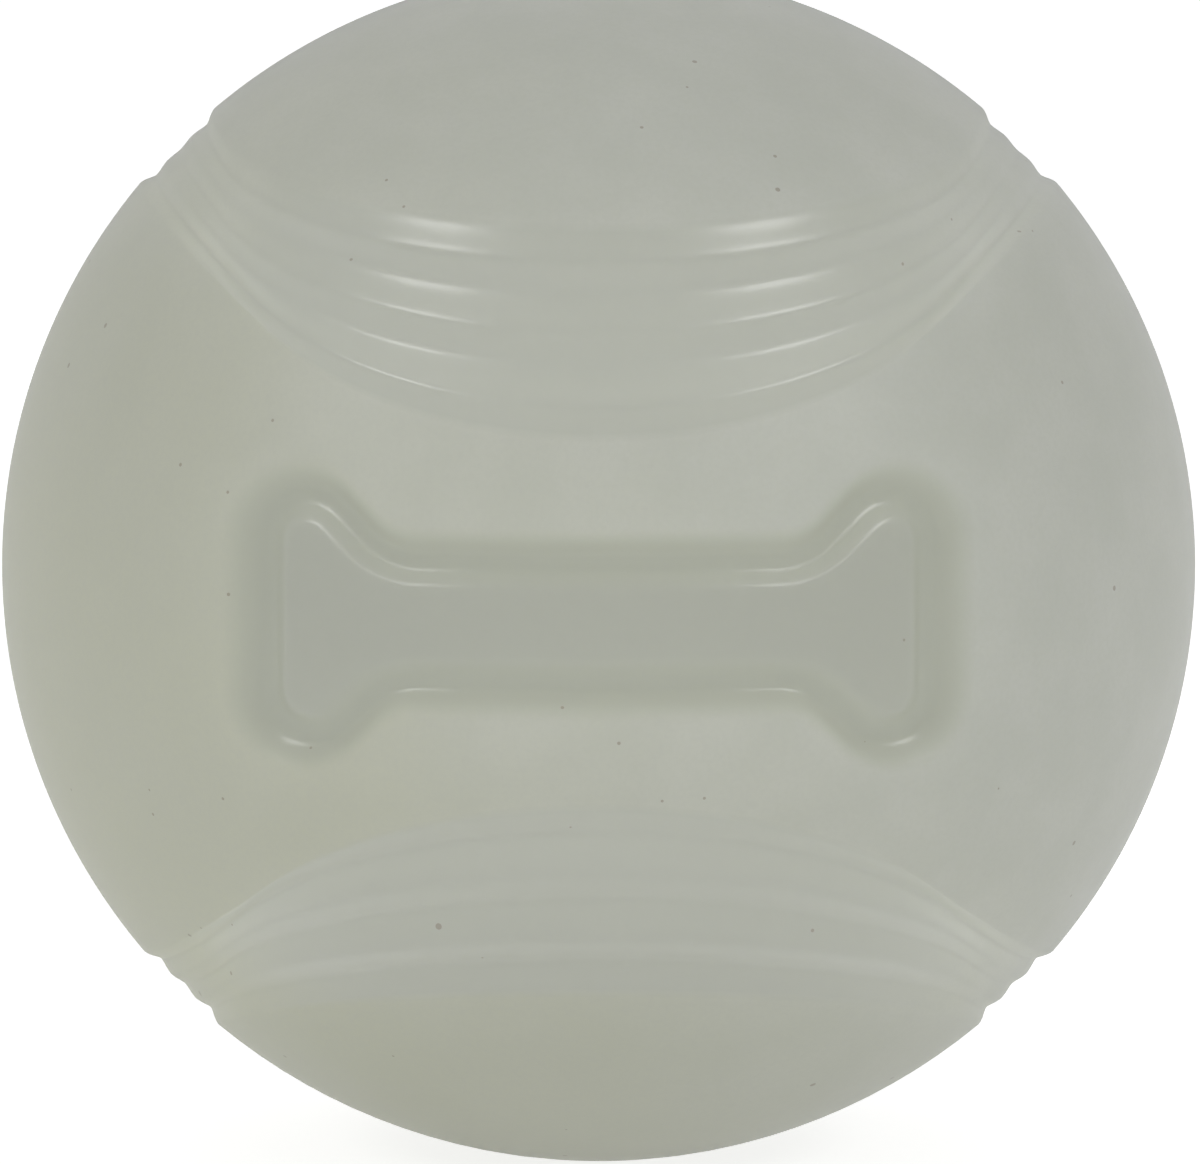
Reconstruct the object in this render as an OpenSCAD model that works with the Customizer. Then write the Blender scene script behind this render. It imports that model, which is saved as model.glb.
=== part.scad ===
// Hollow rubber fetch ball for dogs: two moulded half shells cemented together at a flat seam.
// The ball's centre is the origin, +Z is up, the front face looks along -Y and the seam lies in the XZ plane.

/* [Ball] */
// Outside diameter of the ball
ball_d = 65; // [55:0.5:80]
// Thickness of the rubber wall
wall = 6; // [4:0.25:9]

/* [Grooves] */
// Number of grooves in each band
groove_count = 3; // [1:1:4]
// Angle at the ball's centre from the middle of a face to the middle of a groove band
band_angle = 27.3; // [25:0.1:32]
// Angle between neighbouring grooves where they cross the face
face_pitch = 7.25; // [6:0.05:8.5]
// Angle between neighbouring grooves where they cross the seam
seam_pitch = 3.4; // [2.5:0.1:5]
// Depth of a groove below the ball's surface where it crosses the face
groove_depth = 0.65; // [0.4:0.05:1]
// Depth of a groove where it crosses the seam
seam_depth = 0.4; // [0.3:0.05:0.7]
// How far the ribs between the grooves lie below the ball's surface on the face
rib_drop = 0.06; // [0.03:0.01:0.2]
// How far those ribs lie below the ball's surface at the seam
seam_rib_drop = 0.3; // [0.1:0.05:0.5]
// Width of the flat at the bottom of a groove
root_w = 0.4; // [0.1:0.05:0.8]
// How a groove's flanks rise to the ribs: 1 is straight up to a sharp rib, and 2 is rounded all the way
flank_curve = 1.5; // [1.2:0.1:2]

/* [Panel] */
// Length of the recessed panel on each face
panel_l = 37.4; // [30:0.2:42]
// Height of the panel at its two ends
panel_end_h = 14.8; // [12:0.2:17]
// Height of the panel at its waist
panel_waist_h = 8.4; // [6:0.2:10]
// Radius of the panel's corners
panel_corner_r = 3.4; // [2.6:0.1:5]
// Radius where the waist turns out into the ends
panel_fillet_r = 3; // [1.5:0.1:4]
// Angle of the straight flanks between the waist and the ends
panel_flank = 45; // [35:1:50]
// Depth of the channel round the panel, below the ball's surface
panel_depth = 1.2; // [0.6:0.05:2]
// Width of the channel round the raised pad
channel_w = 1.9; // [1:0.1:2.4]
// Depth of the raised pad's top, below the ball's surface
pad_drop = 0.75; // [0.2:0.05:1.6]

/* [Seam] */
// Thickness of the cement film between the two rims
film_t = 0.3; // [0.1:0.05:0.6]
// Radius of the cement bead squeezed out on the inside
bead_r = 1.2; // [0.6:0.1:2]

/* [Hidden] */
$fn = 96;
// Flats from a groove's root to the top of its rib, and steps along a band from seam to seam
rib_steps = 4;
band_steps = 40;
// Flats round a corner and a fillet of the panel
corner_steps = 10;
fillet_steps = 4;

rubber = "#acaea4";
cement = "#c9c7b4";

ball_r = ball_d / 2;
core_r = ball_r - wall;
// Where the seam film meets the ball's surface
film_r = sqrt(pow(ball_r, 2) - pow(film_t / 2, 2));
// Room that a cutter has beyond the surface that it cuts
over = 2;
// Angle that a band runs on past the seam
over_angle = 3;
// A band's edge lies this far above the ball's surface, so that its flank leaves the surface at a clear angle
edge_rise = 0.03;
// Angle along the seam to a band's middle, halfway round a quarter, so that the bands of both halves meet
band_seam_angle = 45;

corner = [panel_l / 2 - panel_corner_r, panel_end_h / 2 - panel_corner_r];
flank_out = [-sin(panel_flank), cos(panel_flank)];
flank_along = [cos(panel_flank), sin(panel_flank)];
// Length of the straight flank, which puts the fillet's curve on the waist's edge
flank_l = (corner.y + (panel_corner_r + panel_fillet_r) * flank_out.y - panel_waist_h / 2 - panel_fillet_r)
    / flank_along.y;
fillet = corner + (panel_corner_r + panel_fillet_r) * flank_out - flank_l * flank_along;

// Lines along a band are counted outwards from its middle, in steps of one groove.
// Angle from the middle of the face to where a line crosses it, and the same along the seam
function face_angle(line) = band_angle + line * face_pitch;
function seam_angle(line) = band_seam_angle - line * seam_pitch;
// The line's arc across the face: its angular radius, its axis from the face's middle, and where it ends
function arc_radius(line) =
    atan2(sin(seam_angle(line)) * sin(face_angle(line)), 1 - sin(seam_angle(line)) * cos(face_angle(line)));
function arc_axis(line) = face_angle(line) + arc_radius(line);
function arc_end(line) = acos(cos(arc_axis(line)) / cos(arc_radius(line)));
function arc_end_longitude(line) = atan2(sin(arc_end(line)) * sin(seam_angle(line)), cos(arc_end(line)));

// Latitude of a line: along its arc, and past the arc's end along the great circle that meets the seam square
function arc_latitude(line, longitude) =
    let (up = sin(arc_axis(line)), level = cos(arc_axis(line)) * cos(longitude))
    atan2(up, level) - acos(cos(arc_radius(line)) / norm([up, level]));
function run_latitude(line, longitude) = atan2(sin(longitude) * cos(seam_angle(line)), sin(seam_angle(line)));
function line_latitude(line, longitude) =
    longitude < arc_end_longitude(line) ? arc_latitude(line, longitude) : run_latitude(line, longitude);
function line_direction(line, longitude) =
    let (latitude = line_latitude(line, abs(longitude)))
    [cos(latitude) * sin(longitude), sin(latitude), cos(latitude) * cos(longitude)];

// The line along a band's edge, and the share of a groove's width that its flat root takes
edge_line = groove_count / 2;
root_share = root_w / (ball_d * PI * face_pitch / 360);
// Points across a band: the line that each is on, its way up from root to rib, and if that rib is the edge
band_section = [for (n = [0 : groove_count - 1], side = [-1, 1], k = [0 : rib_steps])
    let (groove = n - (groove_count - 1) / 2,
        up = side < 0 ? 1 - k / rib_steps : k / rib_steps)
    if (n == 0 || side > 0 || k > 0)
        [groove + side * (root_share + (1 - root_share) * up) / 2, up, abs(groove + side) > edge_line]];

// Depth of a band's surface: a groove gets shallower and its ribs lower on the way from the face to the seam
function band_depth(up, on_edge, out) =
    let (face_share = max(0, min(1, out.z / cos(band_angle))),
        root = seam_depth + (groove_depth - seam_depth) * face_share,
        rib = on_edge ? -edge_rise : seam_rib_drop + (rib_drop - seam_rib_drop) * face_share)
    rib + (root - rib) * pow(1 - up, flank_curve);

// What a band takes out of the ball between these longitudes: its section set at each in turn and joined up
module band_sweep(longitudes) {
    count = len(band_section) + 2;
    last = (len(longitudes) - 1) * count;
    points = [for (longitude = longitudes) each concat(
        [(ball_r + over) * line_direction(-edge_line, longitude)],
        [for (p = band_section)
            let (out = line_direction(p[0], longitude))
            (ball_r - band_depth(p[1], p[2], out)) * out],
        [(ball_r + over) * line_direction(edge_line, longitude)])];
    walls = [for (start = [0 : count : last - count], k = [0 : count - 1])
        let (a = start + k, b = start + (k + 1) % count)
        each [[a, b + count, b], [a, a + count, b + count]]];
    ends = [for (k = [1 : count - 2])
        each [[0, k, k + 1], [last, last + k + 1, last + k]]];
    polyhedron(points, concat(walls, ends));
}

// Both bands of grooves of one half, with the middle of its face on +Z
module groove_bands() {
    for (band = [0, 180])
        rotate([0, 0, band])
            band_sweep(concat(
                [-90 - over_angle],
                [for (k = [0 : band_steps]) 180 * k / band_steps - 90],
                [90 + over_angle]));
}

// Where the bands cross the seam
module band_crossings() {
    for (band = [0, 180], side = [-90, 90])
        rotate([0, 0, band])
            band_sweep([side - over_angle, side, side + over_angle]);
}

// Outline of the panel, drawn in from its edge: four round corners, with fillets out of the waist
function reverse(list) = [for (k = [len(list) - 1 : -1 : 0]) list[k]];
function arc_points(centre, r, from, to, steps) =
    [for (k = [0 : steps]) let (a = from + (to - from) * k / steps) centre + r * [cos(a), sin(a)]];
module panel_outline(inset) {
    quarter = concat(
        arc_points(corner, panel_corner_r - inset, 0, 90 + panel_flank, corner_steps),
        arc_points(fillet, panel_fillet_r + inset, panel_flank - 90, -90, fillet_steps));
    half = concat(quarter, [for (p = reverse(quarter)) [-p.x, p.y]]);
    polygon(concat(half, -half));
}

// What the mould's raised panel takes out of a face: a channel that leaves a bare pad standing
module panel_recess() {
    difference() {
        linear_extrude(height = ball_r + over)
            panel_outline(0);
        sphere(r = ball_r - panel_depth);
        intersection() {
            linear_extrude(height = ball_r + over)
                panel_outline(channel_w);
            sphere(r = ball_r - pad_drop);
        }
    }
}

// One moulded half with the middle of its face on +Z and its flat rim at the seam film
module half_shell() {
    difference() {
        intersection() {
            sphere(r = ball_r);
            translate([-ball_d, -ball_d, film_t / 2])
                cube([2 * ball_d, 2 * ball_d, ball_d]);
        }
        sphere(r = core_r);
        groove_bands();
        panel_recess();
    }
}

// The half that faces the viewer, its panel level
module front_half_shell() {
    color(rubber)
        rotate([90, 0, 0])
            half_shell();
}

// The same moulding, a quarter turn round, so that its grooves carry on those of the front half
module rear_half_shell() {
    color(rubber)
        rotate([-90, 0, 0])
            rotate([0, 0, 90])
                half_shell();
}

// Rubber cement between the rims, buffed flush outside and grooved with them, with a bead inside
module seam_cement() {
    color(cement)
        rotate([90, 0, 0])
            difference() {
                rotate_extrude() {
                    translate([core_r - bead_r / 2, -film_t / 2])
                        square([film_r - core_r + bead_r / 2, film_t]);
                    intersection() {
                        circle(r = core_r);
                        translate([core_r, 0])
                            circle(r = bead_r);
                    }
                }
                band_crossings();
            }
}

front_half_shell();
rear_half_shell();
seam_cement();
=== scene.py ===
import math

import bpy
from mathutils import Matrix, Vector


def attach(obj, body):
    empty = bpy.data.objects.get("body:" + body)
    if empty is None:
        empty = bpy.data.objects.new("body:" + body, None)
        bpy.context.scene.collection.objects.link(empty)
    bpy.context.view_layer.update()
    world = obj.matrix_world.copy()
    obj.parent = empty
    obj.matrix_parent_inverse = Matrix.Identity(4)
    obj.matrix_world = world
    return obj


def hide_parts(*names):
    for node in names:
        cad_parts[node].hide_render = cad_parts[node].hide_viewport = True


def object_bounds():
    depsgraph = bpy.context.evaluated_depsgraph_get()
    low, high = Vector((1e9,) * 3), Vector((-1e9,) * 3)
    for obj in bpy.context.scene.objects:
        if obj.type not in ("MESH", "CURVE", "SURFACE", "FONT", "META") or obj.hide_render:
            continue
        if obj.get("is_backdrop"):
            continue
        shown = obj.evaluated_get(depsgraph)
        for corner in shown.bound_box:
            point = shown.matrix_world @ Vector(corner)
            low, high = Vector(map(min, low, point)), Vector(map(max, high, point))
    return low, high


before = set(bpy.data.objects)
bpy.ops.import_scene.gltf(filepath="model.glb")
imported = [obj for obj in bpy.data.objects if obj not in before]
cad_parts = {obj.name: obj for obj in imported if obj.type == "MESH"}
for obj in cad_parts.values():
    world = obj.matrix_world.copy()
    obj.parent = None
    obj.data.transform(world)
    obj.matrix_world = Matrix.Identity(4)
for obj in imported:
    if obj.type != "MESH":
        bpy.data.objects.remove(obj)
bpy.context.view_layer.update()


# The half shells: one moulding in pale, slightly translucent glow rubber, made twice and joined rim to rim.
# The mould gives each half a bare waisted panel and two bands of grooves with rounded ribs between them.
# The rear half is a quarter turn round from the front one, so that the grooves run on across the seam.
mm = 0.001
degree = math.pi / 180
shell_sizes = {
    "Ball radius": 32.5 * mm,
    "Wall": 6 * mm,
    "Half film": 0.15 * mm,
    "Band angle": 27.3 * degree,
    "Face pitch": 7.25 * degree,
    "Seam pitch": 3.4 * degree,
    "Groove depth": 0.65 * mm,
    "Seam depth": 0.4 * mm,
    "Rib drop": 0.06 * mm,
    "Seam rib drop": 0.3 * mm,
    "Root softness": 0.25,
    "Flank curve": 1.5,
    "Panel length": 37.4 * mm,
    "Panel end height": 14.8 * mm,
    "Panel waist height": 8.4 * mm,
    "Panel corner": 3.4 * mm,
    "Panel fillet": 3 * mm,
    "Panel depth": 1.2 * mm,
    "Panel lip": 0.8 * mm,
    "Channel width": 1.9 * mm,
    "Pad drop": 0.75 * mm,
    "Pad lip": 0.6 * mm,
}
# Lines along a band are counted from its middle groove, in steps of one groove.
groove_count = 3
last_groove = (groove_count - 1) / 2
band_edge = groove_count / 2
# A band's middle crosses the seam halfway round a quarter, so that the bands of both halves meet.
band_seam_angle = 45 * degree


class Field:
    """A number worked out at every point of a surface: sums written with it become Math nodes in its tree."""

    def __init__(self, tree, socket):
        self.tree, self.socket = tree, socket

    def into(self, slot):
        """Links this number to another node's input."""
        self.tree.links.new(self.socket, slot)

    def node(self, kind, values, **settings):
        """What a new node makes of these values, which are fields or plain numbers."""
        node = self.tree.nodes.new(kind)
        for setting, choice in settings.items():
            setattr(node, setting, choice)
        for slot, value in zip(node.inputs, values):
            if isinstance(value, Field):
                value.into(slot)
            else:
                slot.default_value = value
        return Field(self.tree, node.outputs[0])

    def math(self, operation, *others):
        return self.node("ShaderNodeMath", (self, *others), operation=operation)

    def __add__(self, other):
        return self.math("ADD", other)

    def __sub__(self, other):
        return self.math("SUBTRACT", other)

    def __mul__(self, other):
        return self.math("MULTIPLY", other)

    def __truediv__(self, other):
        return self.math("DIVIDE", other)

    def __lt__(self, other):
        return self.math("LESS_THAN", other)

    def __gt__(self, other):
        return self.math("GREATER_THAN", other)

    def __neg__(self):
        return self * -1

    def __abs__(self):
        return self.math("ABSOLUTE")

    def sin(self):
        return self.math("SINE")

    def cos(self):
        return self.math("COSINE")

    def arc_sin(self):
        return self.math("ARCSINE")

    def arc_cos(self):
        return self.math("ARCCOSINE")

    def angle_over(self, other):
        return self.math("ARCTAN2", other)

    def root(self):
        return self.math("SQRT")

    def sign(self):
        return self.math("SIGN")

    def floor(self):
        return self.math("FLOOR")

    def power(self, exponent):
        return self.math("POWER", exponent)

    def least(self, other):
        return self.math("MINIMUM", other)

    def most(self, other):
        return self.math("MAXIMUM", other)

    def rest(self):
        """What is left of a share, up to the whole."""
        return -self + 1

    def choose(self, yes, no):
        """yes where this is above 0, and no elsewhere."""
        return self.node("GeometryNodeSwitch", (self, no, yes), input_type="FLOAT")

    def step(self, start, end):
        """0 before start and 1 after end, with a smooth step between them."""
        return self.node("ShaderNodeMapRange", (self, start, end), interpolation_type="SMOOTHSTEP")


def parts_of(tree, place):
    """The x, y and z of a place or a direction."""
    node = tree.nodes.new("ShaderNodeSeparateXYZ")
    tree.links.new(place, node.inputs[0])
    return [Field(tree, part) for part in node.outputs]


def band_latitude(size, line, longitude):
    """Latitude of a band's line: on its arc over the face, then on a great circle square to the seam."""
    face = size["Face pitch"] * line + size["Band angle"]
    seam = -(size["Seam pitch"] * line) + band_seam_angle
    arc = (seam.sin() * face.sin()).angle_over((seam.sin() * face.cos()).rest())
    axis = face + arc
    level = axis.cos() * longitude.cos()
    span = (axis.sin() * axis.sin() + level * level).root()
    on_arc = axis.sin().angle_over(level) - (arc.cos() / span).arc_cos()
    on_run = (longitude.sin() * seam.cos()).angle_over(seam.sin())
    end = (axis.cos() / arc.cos()).arc_cos()
    run_from = (end.sin() * seam.sin()).angle_over(end.cos())
    return (longitude < run_from).choose(on_arc, on_run)


def band_depth(size, line, z):
    """How deep a band lies: its grooves get shallower and its ribs lower towards the seam, at z = 0."""
    root_line = (line + 0.5).floor().most(-last_groove).least(last_groove)
    off_root, soft = abs(line - root_line) * 2, size["Root softness"]
    up = ((off_root * off_root + soft * soft).root() - soft) / ((soft * soft + 1).root() - soft)
    face_share = (z / size["Band angle"].cos()).most(0).least(1)
    root = size["Seam depth"] + (size["Groove depth"] - size["Seam depth"]) * face_share
    rib = size["Seam rib drop"] + (size["Rib drop"] - size["Seam rib drop"]) * face_share
    rib = (abs(line) > last_groove).choose(0, rib)
    return rib + (root - rib) * up.rest().most(0).power(size["Flank curve"])


def panel_edge(size, x, y):
    """Distance from the panel's edge, below 0 inside it: round corners, flanks at 45 degrees and a waist."""
    lean = math.sqrt(0.5)
    corner, fillet = size["Panel corner"], size["Panel fillet"]
    corner_x, corner_y = size["Panel length"] / 2 - corner, size["Panel end height"] / 2 - corner
    waist = size["Panel waist height"] / 2
    flank_run = (corner_y + (corner + fillet) * lean - waist - fillet) / lean
    fillet_x = corner_x - (corner + fillet) * lean - flank_run * lean
    fillet_y = waist + fillet
    off_x, off_y = x - corner_x, y - corner_y
    along, out = (off_x + off_y) * lean, (off_y - off_x) * lean
    from_corner = (off_x * off_x + off_y * off_y).root() - corner
    turn_x, turn_y = x - fillet_x, y - fillet_y
    from_fillet = fillet - (turn_x * turn_x + turn_y * turn_y).root()
    upper = (along + flank_run < 0).choose(from_fillet, out - corner)
    upper = (turn_x < 0).choose(y - waist, upper)
    in_corner = (off_y > 0) * (along > 0)
    return in_corner.choose(from_corner, upper.most(off_x - corner))


def panel_shares(size, x, y):
    """How far the panel is sunk in the direction x, y, and how far its pad stands there, as shares."""
    inside = -panel_edge(size, abs(x) * size["Ball radius"], abs(y) * size["Ball radius"])
    sunk = inside.step(-size["Panel lip"], size["Panel lip"])
    stands = inside.step(size["Channel width"] - size["Pad lip"], size["Channel width"] + size["Pad lip"])
    return sunk, stands


def form_tree(name, sizes):
    """A geometry tree with a named input for each size, and those inputs."""
    tree = bpy.data.node_groups.new(name, "GeometryNodeTree")
    tree.interface.new_socket("Geometry", in_out="OUTPUT", socket_type="NodeSocketGeometry")
    for size in sizes:
        tree.interface.new_socket(size, in_out="INPUT", socket_type="NodeSocketFloat")
    entry = tree.nodes.new("NodeGroupInput")
    return tree, {size: Field(tree, entry.outputs[size]) for size in sizes}


def grid_of(tree, columns, rows):
    """A grid with its column and row numbers, counted from its middle."""
    grid = tree.nodes.new("GeometryNodeMeshGrid")
    for slot, value in zip(grid.inputs, (columns, rows, columns + 1, rows + 1)):
        slot.default_value = value
    column, row, _ = parts_of(tree, tree.nodes.new("GeometryNodeInputPosition").outputs[0])
    return grid.outputs["Mesh"], column, row


def close_form(tree, mesh, x, y, z, material, **marks):
    """Keeps the marks on the grid, sets its points, welds its edges together and gives it its finish."""
    weld_distance, sharp_angle = 0.002 * mm, 60 * degree

    def after(kind, geometry, **settings):
        node = tree.nodes.new(kind)
        for setting, value in settings.items():
            setattr(node, setting, value)
        tree.links.new(geometry, node.inputs[0])
        return node

    for name, value in marks.items():
        kept = after("GeometryNodeStoreNamedAttribute", mesh, data_type="FLOAT", domain="POINT")
        kept.inputs["Name"].default_value = name
        value.into(kept.inputs["Value"])
        mesh = kept.outputs[0]
    placed = after("GeometryNodeSetPosition", mesh)
    point = tree.nodes.new("ShaderNodeCombineXYZ")
    for slot, value in zip(point.inputs, (x, y, z)):
        value.into(slot)
    tree.links.new(point.outputs[0], placed.inputs["Position"])
    welded = after("GeometryNodeMergeByDistance", placed.outputs[0])
    welded.inputs["Distance"].default_value = weld_distance
    smooth = after("GeometryNodeSetShadeSmooth", welded.outputs[0], domain="FACE")
    smooth.inputs["Shade Smooth"].default_value = True
    sharp = after("GeometryNodeSetShadeSmooth", smooth.outputs[0], domain="EDGE")
    sharp.inputs["Shade Smooth"].default_value = False
    angle = Field(tree, tree.nodes.new("GeometryNodeInputMeshEdgeAngle").outputs["Unsigned Angle"])
    (angle > sharp_angle).into(sharp.inputs["Selection"])
    realized = after("GeometryNodeRealizeInstances", sharp.outputs[0])
    finished = after("GeometryNodeSetMaterial", realized.outputs[0])
    finished.inputs["Material"].default_value = material
    tree.links.new(finished.outputs[0], tree.nodes.new("NodeGroupOutput").inputs[0])


def made_by(tree, sizes):
    """The plain mesh that a tree makes at these sizes."""
    carrier = bpy.data.objects.new("carrier", bpy.data.meshes.new("carrier"))
    bpy.context.scene.collection.objects.link(carrier)
    form = carrier.modifiers.new("form", "NODES")
    form.node_group = tree
    for socket in tree.interface.items_tree:
        if socket.in_out == "INPUT":
            form[socket.identifier] = sizes[socket.name]
    shown = carrier.evaluated_get(bpy.context.evaluated_depsgraph_get())
    mesh = bpy.data.meshes.new_from_object(shown)
    bpy.data.objects.remove(carrier)
    return mesh


def piece_of(name, mesh, node):
    """A finished piece, with the finish that its mesh carries, that stands for a node of the frame."""
    mesh.name = name
    piece = bpy.data.objects.new(name, mesh)
    bpy.context.scene.collection.objects.link(piece)
    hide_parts(node)
    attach(piece, "root")


def finish_of(name, **constants):
    """A material with these constants on its surface, with its tree, that surface and the Object places."""
    material = bpy.data.materials.new(name)
    material.use_nodes = True
    tree = material.node_tree
    surface = tree.nodes["Principled BSDF"]
    for constant, value in constants.items():
        surface.inputs[constant.replace("_", " ")].default_value = value
    return material, tree, surface, tree.nodes.new("ShaderNodeTexCoord").outputs["Object"]


def shader_node(tree, kind, **inputs):
    """A shader node with some of its inputs set, by name, to a value, a field or another node's output."""
    node = tree.nodes.new(kind)
    for name, value in inputs.items():
        if isinstance(value, Field):
            value.into(node.inputs[name])
        elif isinstance(value, bpy.types.NodeSocket):
            tree.links.new(value, node.inputs[name])
        else:
            node.inputs[name].default_value = value
    return node


def noise(tree, place, size, detail):
    """Cloudy variation from 0 to 1, with patches of about this size."""
    node = shader_node(tree, "ShaderNodeTexNoise", Vector=place, Scale=1 / size, Detail=detail, Roughness=0.5)
    return Field(tree, node.outputs["Fac"])


def mixed(tree, share, first, second, kind="RGBA"):
    """The first colour or direction, with this share of the second."""
    first_slot, second_slot, result = {"RGBA": (6, 7, 2), "VECTOR": (4, 5, 1)}[kind]
    node = tree.nodes.new("ShaderNodeMix")
    node.data_type = kind
    share.into(node.inputs["Factor"])
    for slot, value in ((node.inputs[first_slot], first), (node.inputs[second_slot], second)):
        if isinstance(value, bpy.types.NodeSocket):
            tree.links.new(value, slot)
        else:
            slot.default_value = (*value, 1)
    return node.outputs[result]


def marked(tree, name):
    """A mark that the form has left on the mesh."""
    node = tree.nodes.new("ShaderNodeAttribute")
    node.attribute_name = name
    return Field(tree, node.outputs["Fac"])


def rubber_colour(tree, place):
    """Pale grey-green with cloudy pigment, yellower to the lower left, and with painted shade that darkens
    the grooves, the panel and its channel.
    """
    pale, cloudy, yellowed = (0.41, 0.423, 0.378), (0.435, 0.446, 0.403), (0.415, 0.425, 0.338)
    grainy, painted_groove_shade = (0.39, 0.397, 0.35), (0.37, 0.382, 0.332)
    painted_panel_shade, painted_channel_shade = (0.32, 0.332, 0.282), (0.315, 0.33, 0.268)
    cloud_size, cloud_start, cloud_end = 5 * mm, 0.3, 0.75
    grain_size, grain_start, grain_end = 0.3 * mm, 0.35, 0.7
    cast_patch, cast_wander, cast_start, cast_end = 14 * mm, 20 * mm, -20 * mm, 36 * mm
    cast_left, cast_down = 0.8, 0.6
    grain_share, painted_shade_share, channel_shade_share = 0.25, 0.9, 0.6

    clouds = noise(tree, place, cloud_size, detail=4).step(cloud_start, cloud_end)
    grain = noise(tree, place, grain_size, detail=3).step(grain_start, grain_end)
    x, _, z = parts_of(tree, place)
    lower_left = -(x * cast_left + z * cast_down)
    wander = noise(tree, place, cast_patch, detail=2) * cast_wander - cast_wander / 2
    cast = (lower_left + wander).step(cast_start, cast_end)
    colour = mixed(tree, clouds, pale, cloudy)
    colour = mixed(tree, cast, colour, yellowed)
    colour = mixed(tree, grain * grain_share, colour, grainy)
    # Painted shade: the polished grooves are made darker than the rubber, in place of the shade that falls in
    # them.
    colour = mixed(tree, marked(tree, "gloss") * painted_shade_share, colour, painted_groove_shade)
    # Painted shade: the sunk panel is made darker than the rubber, in place of the shade in this recess.
    colour = mixed(tree, marked(tree, "panel") * painted_shade_share, colour, painted_panel_shade)
    # Painted shade: the channel round the pad is darker and more olive, in place of the shade along its
    # walls.
    return mixed(tree, marked(tree, "channel") * channel_shade_share, colour, painted_channel_shade)


def specks(tree, place):
    """Small dark specks in the rubber, as a share: one in about every second cell, and few of them large."""
    cell, chance, strength = 2.2 * mm, 0.5, 0.6
    smallest, growth, rarity = 0.04, 0.045, 3
    cells = shader_node(tree, "ShaderNodeTexVoronoi", Vector=place, Scale=1 / cell, Randomness=1.0)
    draws = tree.nodes.new("ShaderNodeSeparateColor")
    tree.links.new(cells.outputs["Color"], draws.inputs[0])
    chosen = Field(tree, draws.outputs[0]) < chance
    reach = Field(tree, draws.outputs[1]).power(rarity) * growth + smallest
    return (Field(tree, cells.outputs["Distance"]) < reach) * chosen * strength


def glow_rubber():
    """Milky rubber, satin outside and glossier in its recesses. Light spreads in it and evens out the relief,
    so its body is shaded mostly by the ball's round form, and its gloss by the true surface."""
    speck_colour = (0.2, 0.17, 0.13)
    roughness, roughness_spread, roughness_patch = 0.42, 0.08, 9 * mm
    skin_wave, skin_grain, grain_share, skin_depth = 2.6 * mm, 0.5 * mm, 0.22, 0.03 * mm
    milkiness, recess_gloss = 0.7, 0.95
    material, tree, surface, place = finish_of(
        "glow_rubber", Subsurface_Weight=1.0, Subsurface_Radius=(1, 1, 0.8), Subsurface_Scale=10 * mm,
        Specular_IOR_Level=0.25, Coat_Roughness=0.27)
    surface.subsurface_method = "BURLEY"

    colour = mixed(tree, specks(tree, place), rubber_colour(tree, place), speck_colour)
    tree.links.new(colour, surface.inputs["Base Color"])
    satin = noise(tree, place, roughness_patch, detail=3) * roughness_spread + roughness
    satin.into(surface.inputs["Roughness"])
    skin = noise(tree, place, skin_wave, detail=2) + noise(tree, place, skin_grain, detail=2) * grain_share
    bump = shader_node(tree, "ShaderNodeBump", Strength=1.0, Distance=skin_depth, Height=skin).outputs[0]
    tree.links.new(bump, surface.inputs["Coat Normal"])
    (marked(tree, "gloss") * recess_gloss).into(surface.inputs["Coat Weight"])
    round_form = shader_node(tree, "ShaderNodeVectorTransform", Vector=place)
    round_form.vector_type, round_form.convert_from, round_form.convert_to = "NORMAL", "OBJECT", "WORLD"
    milky = mixed(tree, marked(tree, "outside") * milkiness, bump, round_form.outputs[0], "VECTOR")
    tree.links.new(milky, surface.inputs["Normal"])
    return material


# One grid goes from pole to pole round the half. Its columns run over the moulded face, across the rim and
# back inside, and its rows follow the grooves, closer together at their roots.
outer_columns, inner_columns = 260, 24
face_rows, groove_rows, cap_rows = 60, 22, 16
band_rows = groove_count * groove_rows
root_crowding = 1.6
dense_columns, dense_angle = 0.7, 40 * degree
columns = outer_columns + inner_columns + 2
rows = 2 * (face_rows + band_rows + cap_rows)
shell_tree, size = form_tree("half_shell_form", shell_sizes)
grid, column, row = grid_of(shell_tree, columns, rows)

# Across: from rim to rim, and the longitude that this gives, with most of the columns on the face
column = column + columns / 2
last_column = column > columns - 0.5
inside = (column > outer_columns + 0.5) * last_column.rest()
back = (column - (outer_columns + 1)) * (-2 / inner_columns) + 1
across = inside.choose(back, last_column.choose(-1, column * (2 / outer_columns) - 1))
wide = abs(across)
longitude = (wide < dense_columns).choose(
    wide * (dense_angle / dense_columns),
    (wide - dense_columns) * ((90 * degree - dense_angle) / (1 - dense_columns)) + dense_angle)

# Up and down: the line of its band that a row follows, and the latitude that this gives
height = abs(row)
turn = (height - face_rows).most(0).least(band_rows) / groove_rows
groove = turn.floor().least(groove_count - 1)
beside = (turn - groove) * 2 - 1
line = groove - last_groove + beside.sign() * abs(beside).power(root_crowding) * 0.5
above_band = (height - (face_rows + band_rows)).most(0) / cap_rows
latitude = band_latitude(size, line, longitude) * (height / face_rows).least(1)
latitude = (latitude + (-latitude + 90 * degree) * above_band) * row.sign()

# Outwards: the direction of each point from the ball's centre, and how deep the mould has sunk it
base = inside.choose(size["Ball radius"] - size["Wall"], size["Ball radius"])
lift = size["Half film"] / base
x = latitude.cos() * longitude.sin() * across.sign()
y = latitude.sin()
z = latitude.cos() * longitude.cos() * lift.rest() + lift
length = (x * x + y * y + z * z).root()
x, y, z = x / length, y / length, z / length
sunk, stands = panel_shares(size, x, y)
panel_depth = sunk * size["Panel depth"] - stands * (size["Panel depth"] - size["Pad drop"])
radius = inside.choose(base, base - (band_depth(size, line, z) + panel_depth))
rim_start = 0.9999
on_rim = wide > rim_start

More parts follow.
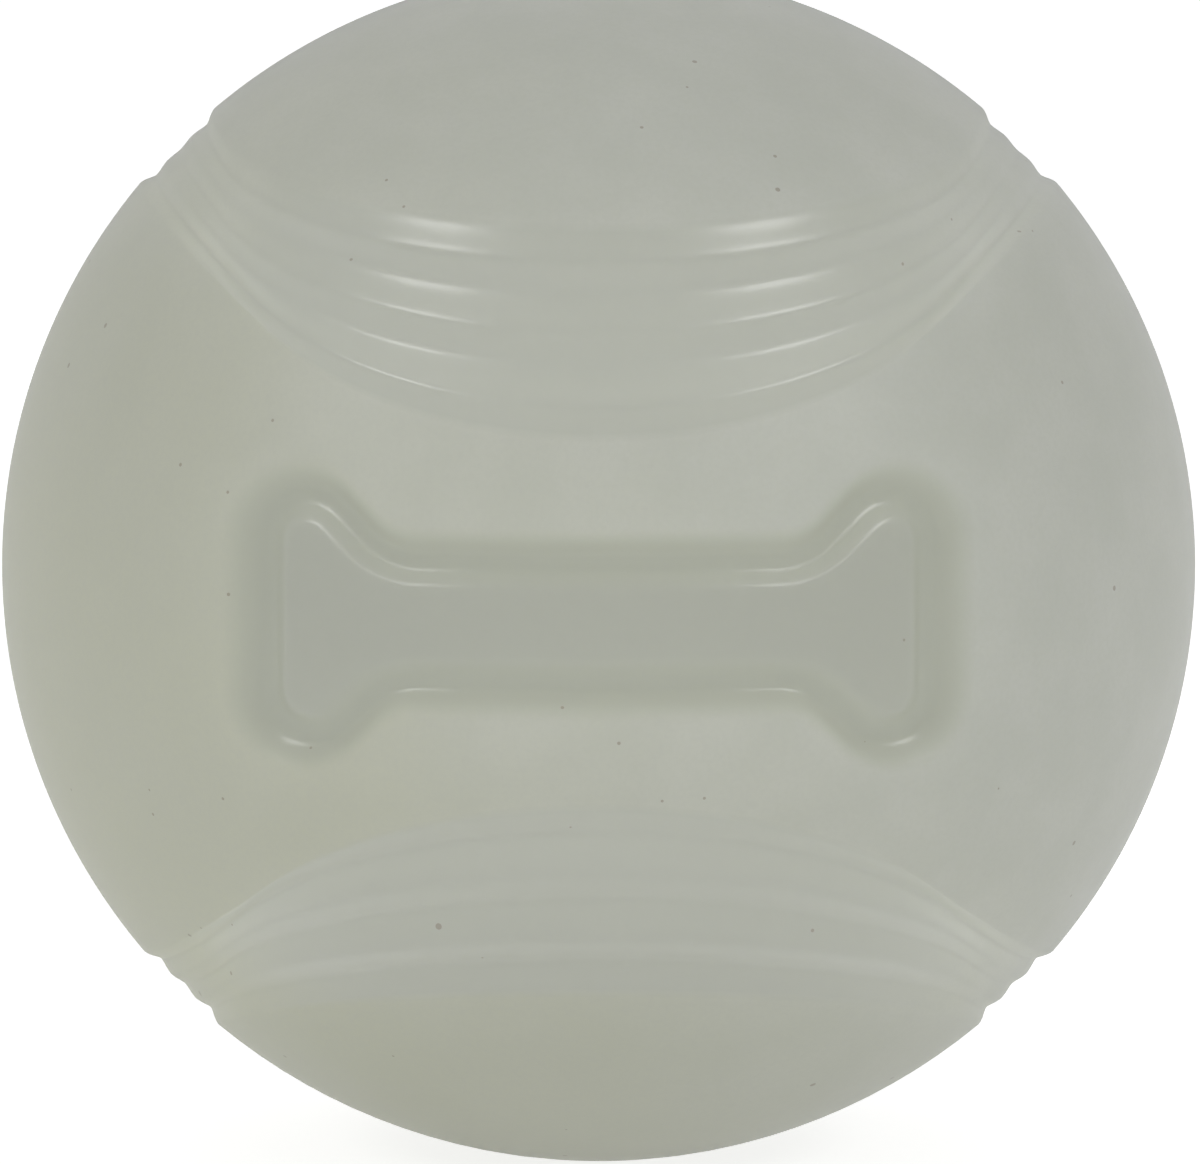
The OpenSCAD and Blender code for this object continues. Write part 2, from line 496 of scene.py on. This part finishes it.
# The mould is polished in its grooves and panel, and less so towards the seam.
polish_fade, dull_z, polished_z = 0.15, 0.42, 0.72
polish = abs(line).step(band_edge, band_edge - polish_fade).most(sunk) * z.step(dull_z, polished_z)
outside = inside.rest()
# Besides marking the gloss, the gloss, panel and channel marks carry painted shade: the rubber's colour is
# darkened there.
close_form(
    shell_tree, grid, x * radius, y * radius, on_rim.choose(size["Half film"], z * radius), glow_rubber(),
    outside=outside, gloss=outside * polish, panel=outside * sunk, channel=outside * (sunk - stands))

front_mesh = made_by(shell_tree, shell_sizes)
rear_mesh = front_mesh.copy()
front_mesh.transform(Matrix.Rotation(90 * degree, 4, "X"))
rear_mesh.transform(Matrix.Rotation(-90 * degree, 4, "X") @ Matrix.Rotation(90 * degree, 4, "Z"))
piece_of("front_half", front_mesh, "front_half_shell")
piece_of("rear_half", rear_mesh, "rear_half_shell")


# The seam cement: a film of rubber cement cured between the two rims, buffed off flush with the ball outside.
# Some of it squeezed out on the inside and set there as a bead.
cement_sizes = {**shell_sizes, "Bead radius": 1.2 * mm}


def cured_cement():
    """Slightly yellower and duller than the rubber, with a buffed, streaky surface."""
    dark, pale = (0.35, 0.345, 0.275), (0.4, 0.395, 0.33)
    streak_size, streak_start, streak_end = 1.5 * mm, 0.3, 0.7
    material, tree, surface, place = finish_of(
        "cured_cement", Roughness=0.5, Subsurface_Weight=0.3, Subsurface_Scale=1.6 * mm)
    streaks = noise(tree, place, streak_size, detail=3).step(streak_start, streak_end)
    tree.links.new(mixed(tree, streaks, dark, pale), surface.inputs["Base Color"])
    return material


# The ring's grid: two rows at the outside, then the bead from rim to rim, and the first row again to close it
ring_columns, bead_rows = 720, 14
ring_rows = bead_rows + 3
cement_tree, size = form_tree("seam_cement_form", cement_sizes)
grid, column, row = grid_of(cement_tree, ring_columns, ring_rows)
turn = column * (2 * math.pi / ring_columns)
x, y = turn.cos(), turn.sin()
row = row + ring_rows / 2
last_row = row > ring_rows - 0.5
outside = (row < 1.5).most(last_row)
film = size["Half film"]

# Outside, the film is flush with the grooves and ribs that cross the seam.
line = (-abs(x).angle_over(abs(y)) + band_seam_angle) / size["Seam pitch"]
flush = size["Ball radius"] - band_depth(size, line.most(-band_edge).least(band_edge), turn * 0)
skin_level = last_row.choose(-film, film * (row.least(1) * 2 - 1))

# Inside, the bead swings round from one face of the film to the other.
neck = (film / size["Bead radius"]).arc_sin()
swing = (neck * -2 + 180 * degree) * ((row - 2) / bead_rows).most(0).least(1) + neck
bead = size["Ball radius"] - size["Wall"] - size["Bead radius"] * swing.sin()
bead_level = size["Bead radius"] * swing.cos()

radius = outside.choose(flush, bead)
level = outside.choose(skin_level, bead_level)
close_form(cement_tree, grid, x * radius, y * radius, level, cured_cement())
cement_mesh = made_by(cement_tree, cement_sizes)
cement_mesh.transform(Matrix.Rotation(90 * degree, 4, "X"))
piece_of("cement_ring", cement_mesh, "seam_cement")


# The studio: white paper that keeps the ball's shadow, a white surround, and a soft box to either side.
# The paper and the surround look white to the camera, and send the ball only the light that its colour needs.
def seen_directly(tree):
    """1 where the camera looks, also by reflection or through glass, and 0 for light on the ball."""
    ray = tree.nodes.new("ShaderNodeLightPath")
    camera, glossy, through = (
        Field(tree, ray.outputs[kind]) for kind in ("Is Camera Ray", "Is Glossy Ray", "Is Transmission Ray"))
    return camera.most(glossy).most(through)


def studio_paper():
    """Paper that glows: white to the camera, and less bright towards the ball, least of all close to it."""
    paper_grey, seen_glow = 0.5, 0.75
    near_glow, far_glow, far = 0.4, 0.67, 100 * mm
    material = bpy.data.materials.new("studio_paper")
    material.use_nodes = True
    tree = material.node_tree
    tree.nodes.clear()
    away = tree.nodes.new("ShaderNodeVectorMath")
    away.operation = "LENGTH"
    tree.links.new(tree.nodes.new("ShaderNodeTexCoord").outputs["Object"], away.inputs[0])
    unseen_glow = Field(tree, away.outputs["Value"]).step(0.0, far) * (far_glow - near_glow) + near_glow
    seen = seen_directly(tree)
    glow = seen * seen_glow + seen.rest() * unseen_glow
    paper = shader_node(tree, "ShaderNodeBsdfDiffuse", Color=(paper_grey, paper_grey, paper_grey, 1))
    lit = shader_node(tree, "ShaderNodeEmission", Color=(1, 1, 1, 1), Strength=glow)
    both = tree.nodes.new("ShaderNodeAddShader")
    tree.links.new(paper.outputs[0], both.inputs[0])
    tree.links.new(lit.outputs[0], both.inputs[1])
    tree.links.new(both.outputs[0], tree.nodes.new("ShaderNodeOutputMaterial").inputs[0])
    return material


floor_reach = 6.0
floor_mesh = bpy.data.meshes.new("floor")
floor_corners = [(-1, -1), (1, -1), (1, 1), (-1, 1)]
floor_mesh.from_pydata(
    [(x * floor_reach, y * floor_reach, -shell_sizes["Ball radius"]) for x, y in floor_corners],
    [], [(0, 1, 2, 3)])
floor_mesh.materials.append(studio_paper())
floor = bpy.data.objects.new("floor", floor_mesh)
bpy.context.scene.collection.objects.link(floor)
floor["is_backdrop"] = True

front_light, front_focus, top_light, even_light = 0.8, 3, 0.58, 0.2
world = bpy.data.worlds.new("studio")
bpy.context.scene.world = world
world.use_nodes = True
tree = world.node_tree
_, backward, upward = parts_of(tree, tree.nodes.new("ShaderNodeTexCoord").outputs["Generated"])
front, high = (-backward).most(0), upward.most(0)
surround = front.power(front_focus) * high.rest() * high.rest() * front_light + high * top_light + even_light
seen = seen_directly(tree)
sky = tree.nodes["Background"]
sky.inputs["Color"].default_value = (1, 1, 1, 1)
(seen + seen.rest() * surround).into(sky.inputs["Strength"])


def soft_box(name, azimuth, elevation, distance, width, height, radiance):
    """A soft box that faces the ball: azimuth 0 is the camera's side, and elevation is above the floor."""
    light = bpy.data.lights.new(name, "AREA")
    light.shape = "RECTANGLE"
    light.size, light.size_y = width, height
    light.energy = radiance * math.pi * width * height
    lamp = bpy.data.objects.new(name, light)
    bpy.context.scene.collection.objects.link(lamp)
    level = math.cos(elevation)
    out = Vector((math.sin(azimuth) * level, -math.cos(azimuth) * level, math.sin(elevation)))
    lamp.location = out * distance
    lamp.rotation_mode = "QUATERNION"
    lamp.rotation_quaternion = out.to_track_quat("Z", "Y")


box_turn, box_rise, box_distance, box_radiance = 47 * degree, 32 * degree, 0.8, 7.8
left_width, right_width, box_height = 0.26, 0.28, 0.17
soft_box("left_soft_box", -box_turn, box_rise, box_distance, left_width, box_height, box_radiance)
soft_box("right_soft_box", box_turn, box_rise, box_distance, right_width, box_height, box_radiance)

# The camera looks slightly down at the ball. Its lens sets the radius of the ball's outline in the image,
# and its aim sets the outline's place there, both in pixels.
view_angle, view_distance = 5.5 * degree, 450 * mm
image_width, ball_in_image = 1200, 596.6
aim_right, aim_down = 1.4, 17.5
camera = bpy.data.objects.new("camera", bpy.data.cameras.new("camera"))
bpy.context.scene.collection.objects.link(camera)
bpy.context.scene.camera = camera
camera.location = Vector((0, -math.cos(view_angle), math.sin(view_angle))) * view_distance
ball_in_sight = math.tan(math.asin(shell_sizes["Ball radius"] / view_distance))
camera.data.sensor_width = 36
camera.data.lens = ball_in_image / ball_in_sight * camera.data.sensor_width / image_width
pixel = shell_sizes["Ball radius"] / ball_in_image
aim = Vector((aim_right * pixel, 0, -aim_down * pixel))
camera.rotation_mode = "QUATERNION"
camera.rotation_quaternion = (aim - camera.location).to_track_quat("-Z", "Y")
camera.data.clip_start, camera.data.clip_end = 0.01, 100
bpy.context.scene.view_settings.view_transform = "Standard"

low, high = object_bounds()
